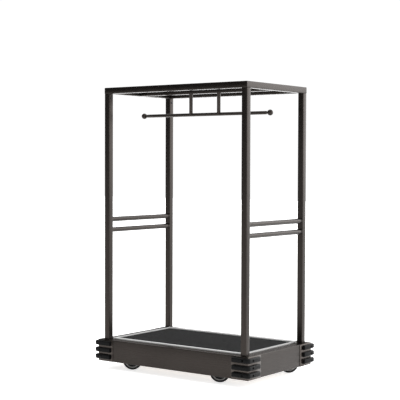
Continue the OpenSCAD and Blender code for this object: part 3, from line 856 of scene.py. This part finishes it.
plateSpec = {
    "size": (0.105, 0.085, 0.0035), "round": 0.008, "edge": 0.0006, "boltX": 0.042, "boltY": 0.032,
    "race": 0.030, "raceFlare": 0.002, "raceRound": 0.0015, "raceHeight": 0.005, "raceSlope": 0.7,
    "pin": 0.006, "pinHead": 0.010, "pinTip": 0.007, "pinHeadHeight": 0.003, "pinCone": 0.0012,
    "pinSunk": 0.004, "bolt": (0.013, 0.0053), "washer": 0.0085, "washerHeight": 0.0008,
}
hexEdge = 0.08  # bevel of a hexagon head, as a share of its height
pickAngle = random.Random(7)


def casterPlace(name):  # swivel axis, axle centre and the turn that points local X to the axle
    joints = {j["name"]: j for j in frame["joints"]}
    swivel = Vector(joints["swivel_" + name]["pos_m"])
    axle = Vector(joints["roll_" + name]["pos_m"])
    heading = math.atan2(axle.y - swivel.y, axle.x - swivel.x)
    return swivel, axle, heading


def hexHead(across, height):
    bm = bmesh.new()
    radius = across / math.sqrt(3)
    bmesh.ops.create_cone(bm, cap_ends=True, segments=6, radius1=radius, radius2=radius, depth=height)
    bmesh.ops.translate(bm, vec=(0, 0, height / 2), verts=bm.verts)
    bevelSharp(bm, height * hexEdge, segments=2, least=50)
    return bm


def makeCasterPlates():
    spec = plateSpec
    low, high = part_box("caster_plates")
    width, depth, thickness = spec["size"]
    seat, foot = -thickness, -thickness - spec["raceHeight"]
    race, head = spec["race"], spec["pinHead"]
    plates, bolts = bmesh.new(), bmesh.new()
    for name in cornerSigns:
        swivel = casterPlace(name)[0]
        toTop = Matrix.Translation((swivel.x, swivel.y, high.z))
        plate = bmesh.new()
        roundedRect(plate, width, depth, spec["round"])
        extrudeFaces(plate, plate.faces[:], (0, 0, -thickness))
        bmesh.ops.recalc_face_normals(plate, faces=plate.faces)
        bevelSharp(plate, spec["edge"], segments=2, least=50)
        joined(plates, plate, toTop)
        ring = bmesh.new()
        slopeEnd = seat - spec["raceHeight"] * spec["raceSlope"]
        lathe(ring, [(0, seat), (race + spec["raceFlare"], seat), (race, slopeEnd),
                     (race - spec["raceRound"], foot), (0, foot)], steps=48)
        joined(plates, ring, toTop)
        pin = bmesh.new()
        pinTop = high.z - spec["pinSunk"]
        shoulder = low.z + spec["pinHeadHeight"]
        lathe(pin, [(0, low.z), (spec["pinTip"], low.z), (head, low.z + spec["pinCone"]), (head, shoulder),
                    (spec["pin"], shoulder), (spec["pin"], pinTop), (0, pinTop)], steps=32)
        joined(plates, pin, Matrix.Translation((swivel.x, swivel.y, 0)))
        for boltX in (-spec["boltX"], spec["boltX"]):
            for boltY in (-spec["boltY"], spec["boltY"]):
                place = Matrix.Translation((swivel.x + boltX, swivel.y + boltY, high.z - thickness))
                turn = Matrix.Rotation(math.pi, 4, "X") @ Matrix.Rotation(pickAngle.random(), 4, "Z")
                joined(bolts, hexHead(*spec["bolt"]), place @ turn)
                washer = bmesh.new()
                lathe(washer, [(0, -spec["washerHeight"]), (spec["washer"], -spec["washerHeight"]),
                               (spec["washer"], 0), (0, 0)], steps=28)
                joined(bolts, washer, place)
    bmesh.ops.recalc_face_normals(plates, faces=plates.faces)
    bmesh.ops.recalc_face_normals(bolts, faces=bolts.faces)
    addPiece("casterPlates", plates, "zinc", stands=["caster_plates"])
    addPiece("casterBoltHeads", bolts, "zinc", stands=["caster_bolts"])


def hullPlate(radius, steps, centre, corners, thickness):  # flat plate round a disc and some corners
    bm = bmesh.new()
    bmesh.ops.create_circle(bm, cap_ends=False, segments=steps, radius=radius)
    bmesh.ops.translate(bm, vec=centre, verts=bm.verts)
    for x, y in corners:
        bm.verts.new((x, y, 0))
    outline = bmesh.ops.convex_hull(bm, input=bm.verts[:], use_existing_faces=False)
    bmesh.ops.delete(bm, geom=outline["geom_interior"], context="VERTS")
    bmesh.ops.dissolve_faces(bm, faces=bm.faces[:])
    extrudeFaces(bm, bm.faces[:], (0, 0, thickness))
    bmesh.ops.recalc_face_normals(bm, faces=bm.faces)
    return bm


wheelSpec = {
    "width": 0.030, "radius": 0.0635, "shoulder": 0.005, "rim": 0.050, "lip": 0.006, "web": 0.0035,
    "webIntoLip": 0.0002, "bore": 0.00506, "boss": 0.014, "bossProud": 0.0025, "edge": 0.001,
    "ribs": 6, "ribWidth": 0.004, "ribInset": 0.005, "ribOverlap": 0.001, "ribEdge": 0.0008,
    "tyreGap": 0.00005, "grooveAt": 0.004, "grooveTop": 0.0012, "grooveFloor": 0.0005,
    "grooveDepth": 0.0012,
}
forkSpec = {
    "crown": 0.028, "crownHeight": 0.008, "crownEdge": 0.002, "bridge": 0.004, "bridgeEdge": 0.0012,
    "bridgeBack": 0.3, "bridgeNose": 0.016, "leg": 0.0035, "legEdge": 0.0010, "legBack": 0.012,
    "legNose": 0.0155, "legOverlap": 0.0006, "boss": 0.013, "gap": 0.003,  # gap between tyre and leg
    "axle": 0.005, "axleInto": 0.001, "axlePast": 0.0103, "axleCone": 0.0008,
    "axleHead": (0.016, 0.006), "axleNut": (0.016, 0.0075),
}


def makeFork(name):
    spec = forkSpec
    swivel, axle, heading = casterPlace(name)
    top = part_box("fork_" + name)[1].z
    trail = math.hypot(axle.x - swivel.x, axle.y - swivel.y)
    bridgeTop = top - spec["crownHeight"]
    inner = wheelSpec["width"] / 2 + spec["gap"]
    outer = inner + spec["leg"]
    bm = bmesh.new()
    crown = bmesh.new()
    lathe(crown, [(0, bridgeTop), (spec["crown"], bridgeTop), (spec["crown"], top - spec["crownEdge"]),
                  (spec["crown"] - spec["crownEdge"], top), (0, top)], steps=48)
    joined(bm, crown)
    corners = [(x, y) for x in (trail * spec["bridgeBack"], trail + spec["bridgeNose"])
               for y in (-outer, outer)]
    bridge = hullPlate(spec["crown"], 48, (0, 0, 0), corners, spec["bridge"])
    bevelSharp(bridge, spec["bridgeEdge"], segments=3, least=60)
    joined(bm, bridge, Matrix.Translation((0, 0, bridgeTop - spec["bridge"])))
    legTop = bridgeTop - spec["legOverlap"]
    for side in (-1, 1):
        leg = hullPlate(spec["boss"], 32, (trail, axle.z, 0),
                        [(-spec["legBack"], legTop), (trail + spec["legNose"], legTop)], spec["leg"])
        bevelSharp(leg, spec["legEdge"], segments=2, least=50)
        shift = side * inner + (spec["leg"] if side > 0 else 0)
        joined(bm, leg, Matrix.Translation((0, shift, 0)) @ Matrix.Rotation(math.pi / 2, 4, "X"))
    place = Matrix.Translation((swivel.x, swivel.y, 0)) @ Matrix.Rotation(heading, 4, "Z")
    bmesh.ops.transform(bm, matrix=place, verts=bm.verts)
    addPiece("forkYoke_" + name, bm, "zinc", body="swivel_" + name, stands=["fork_" + name])

    bolt = bmesh.new()
    joined(bolt, hexHead(*spec["axleHead"]), Matrix.Translation((0, 0, -outer - spec["axleHead"][1])))
    joined(bolt, hexHead(*spec["axleNut"]), Matrix.Translation((0, 0, outer)))
    shank = bmesh.new()
    axleRadius, cone = spec["axle"], spec["axleCone"]
    foot, tip = -outer - spec["axleInto"], outer + spec["axlePast"]
    lathe(shank, [(0, foot), (axleRadius, foot), (axleRadius, tip - cone), (axleRadius - cone, tip),
                  (0, tip)], steps=24)
    joined(bolt, shank)
    toAxle = place @ Matrix.Translation((trail, 0, axle.z)) @ Matrix.Rotation(-math.pi / 2, 4, "X")
    bmesh.ops.transform(bolt, matrix=toAxle, verts=bolt.verts)
    bmesh.ops.recalc_face_normals(bolt, faces=bolt.faces)
    addPiece("axleBolt_" + name, bolt, "zinc", body="swivel_" + name, stands=["axle_" + name])
    return toAxle


def makeWheel(name, toAxle):
    spec = wheelSpec
    half, edge, web = spec["width"] / 2, spec["edge"], spec["web"]
    rim, boss, bossHalf = spec["rim"], spec["boss"], half + spec["bossProud"]
    lipFoot = rim - spec["lip"]
    bm = bmesh.new()
    section = [(spec["bore"], -bossHalf), (boss - edge, -bossHalf), (boss, -bossHalf + edge),
               (boss + edge, -web), (lipFoot + spec["webIntoLip"], -web)]
    lathe(bm, bothSides(section), steps=64, closed=True)
    hoop = bmesh.new()
    lip = [(lipFoot, -web), (lipFoot, -half + 2 * edge), (lipFoot + edge, -half + edge),
           (rim, -half + edge)]
    lathe(hoop, bothSides(lip), steps=64, closed=True)
    bmesh.ops.transform(hoop, matrix=toAxle, verts=hoop.verts)
    bmesh.ops.recalc_face_normals(hoop, faces=hoop.faces)
    addPiece("wheelRim_" + name, hoop, "rimNylon", body="roller_" + name)
    ribSize = (lipFoot - boss + 2 * spec["ribOverlap"], spec["ribWidth"], 2 * (half - spec["ribInset"]))
    for index in range(spec["ribs"]):
        rib = block(ribSize, ((lipFoot + boss) / 2, 0, 0))
        bevelSharp(rib, spec["ribEdge"], segments=2, least=50)
        joined(bm, rib, Matrix.Rotation(2 * math.pi * index / spec["ribs"], 4, "Z"))
    bmesh.ops.transform(bm, matrix=toAxle, verts=bm.verts)
    bmesh.ops.recalc_face_normals(bm, faces=bm.faces)
    addPiece("wheelCentre_" + name, bm, "nylon", body="roller_" + name, stands=["wheel_" + name])

    tyre = bmesh.new()
    radius, shoulder, groove = spec["radius"], spec["shoulder"], -spec["grooveAt"]
    floor = radius - spec["grooveDepth"]
    outline = [(rim + spec["tyreGap"], -half),
               *arcPoints((radius - shoulder, -half + shoulder), shoulder, -90, 0, 6),
               (radius, groove - spec["grooveTop"]), (floor, groove - spec["grooveFloor"]),
               (floor, groove + spec["grooveFloor"]), (radius, groove + spec["grooveTop"])]
    lathe(tyre, bothSides(outline), steps=72, closed=True)
    bmesh.ops.transform(tyre, matrix=toAxle, verts=tyre.verts)
    addPiece("tyreRing_" + name, tyre, "tyre", body="roller_" + name, stands=["tyre_" + name])


makeCasterPlates()
for caster in cornerSigns:
    makeWheel(caster, makeFork(caster))
print("casters made")


# CAD nodes, of which board, base frame and hidden fasteners stay visible

keptFinishes = {
    "plywood": "ply", "base_black": "primed", "black_screw": "blackened", "zinc_steel": "zinc",
    "bronze_metal": "bronzeZ", "trim_steel": "trimX", "carpet": "carpet", "bumper_rubber": "bumper",
    "tyre_rubber": "tyre", "wheel_nylon": "nylon",
}
for entry in frame["record"]["subparts"]:
    node = frame["nodes"][entry["node"]]
    node.data.materials.clear()
    node.data.materials.append(finishes[keptFinishes[entry["material_slot"]]])
print("finishes put on the CAD nodes")


# Studio

studio = {
    "eye": (4.276, -5.834, 1.335), "aim": (-0.001, -0.047, 1.110), "lens": 100.5, "roll": 0.18,
    "floor": (0.90, 0.90, 0.90, 1), "floorMottle": (0.92, 0.92, 0.92, 1), "floorGlow": 0.72,
    "floorSize": 30, "floorPatch": 3.0, "backdrop": 1.05, "roomLevel": 0.66, "lookAt": (0, 0, 0.8),
    # each patch of the room: direction, where it starts and is full, brightness added
    "patches": [
        ((-0.60, -0.80, 0.0), 0.1, 1.0, -0.64),
        ((0.60, 0.80, 0.0), 0.40, 0.96, 4.0),
        ((0, 0, 1), 0.1, 0.9, 0.75),
        ((-0.11, -0.99, 0.05), 0.955, 0.985, 1.2),
    ],
    # each softbox: place, size, power
    "softboxes": {
        "rightSoftbox": ((4.0, -1.2, 2.6), (2.5, 3.0), 20),
        "topSoftbox": ((0.3, -0.4, 4.6), (4.0, 3.0), 110),
    },
}


def makeFloor():
    bm = bmesh.new()
    bmesh.ops.create_grid(bm, x_segments=4, y_segments=4, size=studio["floorSize"])
    for face in bm.faces:
        face.smooth = True
    mesh = bpy.data.meshes.new("paleFloor")
    bm.to_mesh(mesh)
    bm.free()
    material, wire = newFinish("paleFloor")
    mottle = cloud(wire, objectPlace(wire), studio["floorPatch"], 2.0)
    surface(wire, {
        "Base Color": blendColour(wire, mottle, studio["floor"], studio["floorMottle"]),
        "Roughness": 0.9, "Emission Color": (1, 1, 1, 1), "Emission Strength": studio["floorGlow"],
    })
    mesh.materials.append(material)
    floor = bpy.data.objects.new("paleFloor", mesh)
    scene.collection.objects.link(floor)


def makeLight(name, place, size, power):
    data = bpy.data.lights.new(name, "AREA")
    data.shape = "RECTANGLE"
    data.size, data.size_y = size
    data.energy = power
    light = bpy.data.objects.new(name, data)
    light.location = place
    toCart = Vector(studio["lookAt"]) - Vector(place)
    light.rotation_euler = toCart.to_track_quat("-Z", "Y").to_euler()
    scene.collection.objects.link(light)


def makeWorld():
    world = bpy.data.worlds.new("softRoom")
    world.use_nodes = True
    world.node_tree.nodes.clear()
    scene.world = world
    wire = Wire(world.node_tree)
    direction = wire.node("ShaderNodeTexCoord", None, None, "Generated")

    level = studio["roomLevel"]
    for axis, low, high, gain in studio["patches"]:
        dot = wire.node("ShaderNodeVectorMath", {"operation": "DOT_PRODUCT"},
                        {0: direction, 1: axis}, "Value")
        level = level + ramp(wire, dot, low, high) * gain
    seen = wire.node("ShaderNodeLightPath", None, None, "Is Camera Ray")
    room = wire.node("ShaderNodeBackground", None, {"Color": level, "Strength": 1.0})
    backdrop = wire.node("ShaderNodeBackground", None,
                         {"Color": (1, 1, 1, 1), "Strength": studio["backdrop"]})
    mixed = wire.node("ShaderNodeMixShader", None, {0: seen, 1: room, 2: backdrop})
    wire.finish("ShaderNodeOutputWorld", mixed)


def makeCamera():
    data = bpy.data.cameras.new("cartCamera")
    data.lens = studio["lens"]
    data.sensor_width = 36
    data.clip_end = 200
    camera = bpy.data.objects.new("cartCamera", data)
    eye, aim = Vector(studio["eye"]), Vector(studio["aim"])
    roll = Matrix.Rotation(math.radians(studio["roll"]), 4, "Z")
    turn = (aim - eye).to_track_quat("-Z", "Y").to_matrix().to_4x4() @ roll
    camera.matrix_world = Matrix.Translation(eye) @ turn
    scene.collection.objects.link(camera)
    scene.camera = camera


makeFloor()
makeWorld()
for lightName, setting in studio["softboxes"].items():
    makeLight(lightName, *setting)
makeCamera()
scene.view_settings.view_transform = "Standard"

print("studio set up")
